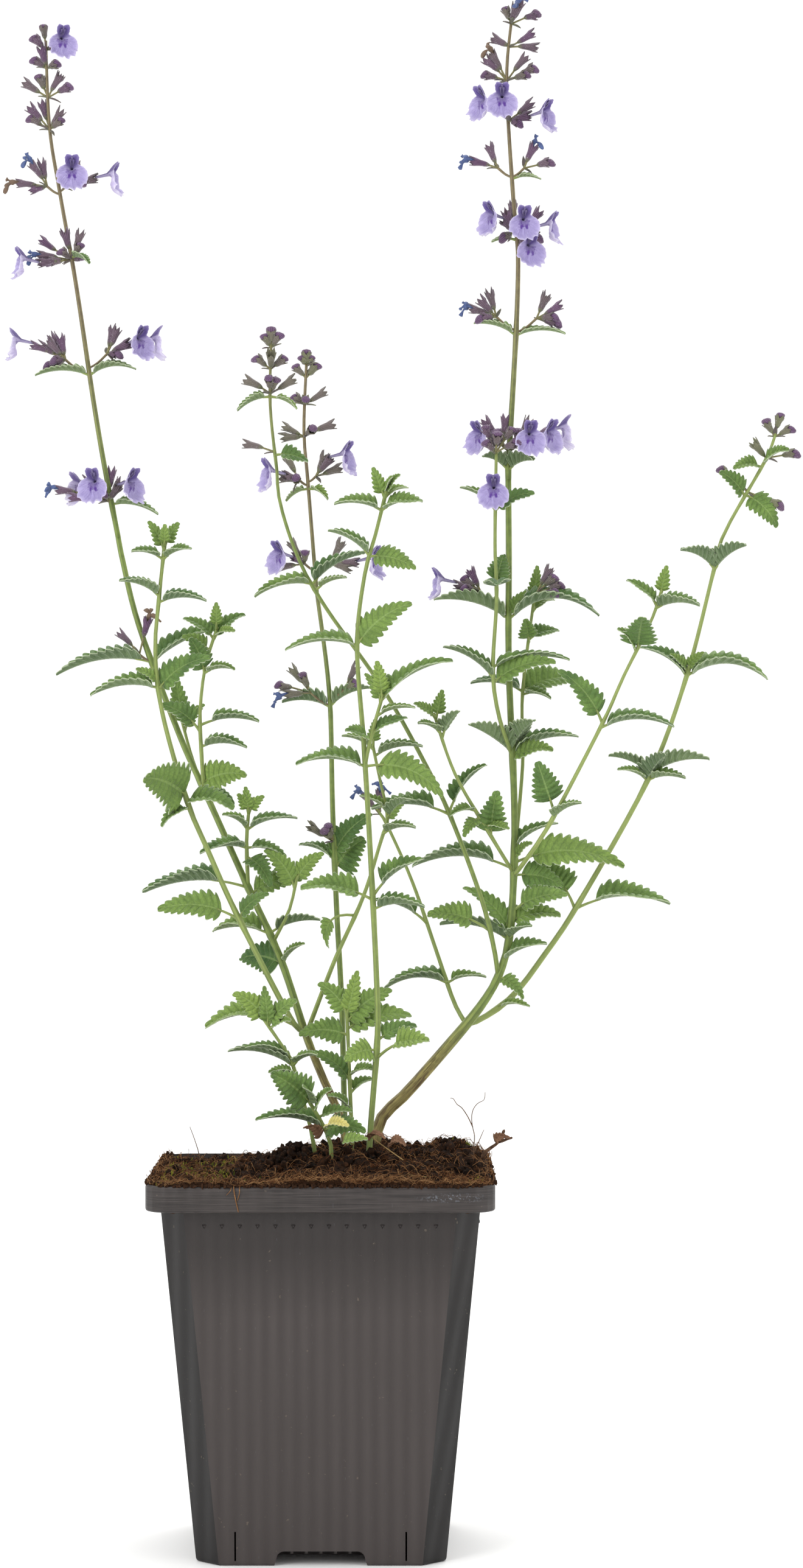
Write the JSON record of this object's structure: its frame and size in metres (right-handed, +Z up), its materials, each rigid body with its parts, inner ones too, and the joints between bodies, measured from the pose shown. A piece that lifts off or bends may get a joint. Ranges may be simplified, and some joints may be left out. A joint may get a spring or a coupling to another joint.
{
  "type": "catmint plant in a pot",
  "caption": "Young catmint with leafy square stems and violet flower spikes, rooted in potting mix in a tapered square nursery pot.",
  "frame": {"origin": "middle of the pot's foot, on the ground", "axes": "+Z up along the pot and the plant, +X to the right seen from the front, +Y to the back"},
  "size_m": [0.2653, 0.11, 0.5058],
  "materials": {
    "leaf": "matte",
    "calyx": "matte",
    "corolla": "matte",
    "dead_wood": "matte",
    "peat": "matte",
    "pot_plastic": "satin"
  },
  "bodies": {
    "root": {"stem_left": "leaf", "spike_left": "calyx", "stem_left_front": "leaf", "stem_inner": "leaf", "stem_back": "leaf", "spike_back": "calyx", "stem_front": "leaf", "stem_back_left": "leaf", "stem_right": "leaf", "spike_right": "calyx", "stem_middle": "leaf", "spike_middle": "calyx", "stem_thin_right": "leaf", "stem_far_right": "leaf", "stem_short_left": "leaf", "stem_short_front": "leaf", "stem_short_inner": "leaf", "corolla_left_1": "corolla", "corolla_left_2": "corolla", "corolla_left_3": "corolla", "corolla_left_4": "corolla", "corolla_left_5": "corolla", "corolla_left_6": "corolla", "corolla_left_7": "corolla", "corolla_left_8": "corolla", "corolla_left_9": "corolla", "corolla_left_10": "corolla", "corolla_back_11": "corolla", "corolla_back_12": "corolla", "corolla_back_13": "corolla", "corolla_back_14": "corolla", "corolla_right_15": "corolla", "corolla_right_16": "corolla", "corolla_right_17": "corolla", "corolla_right_18": "corolla", "corolla_right_19": "corolla", "corolla_right_20": "corolla", "corolla_right_21": "corolla", "corolla_right_22": "corolla", "corolla_right_23": "corolla", "corolla_right_24": "corolla", "corolla_right_25": "corolla", "corolla_right_26": "corolla", "corolla_right_27": "corolla", "dead_twig": "dead_wood", "potting_mix": "peat", "pot": "pot_plastic"}
  },
  "joints": []
}
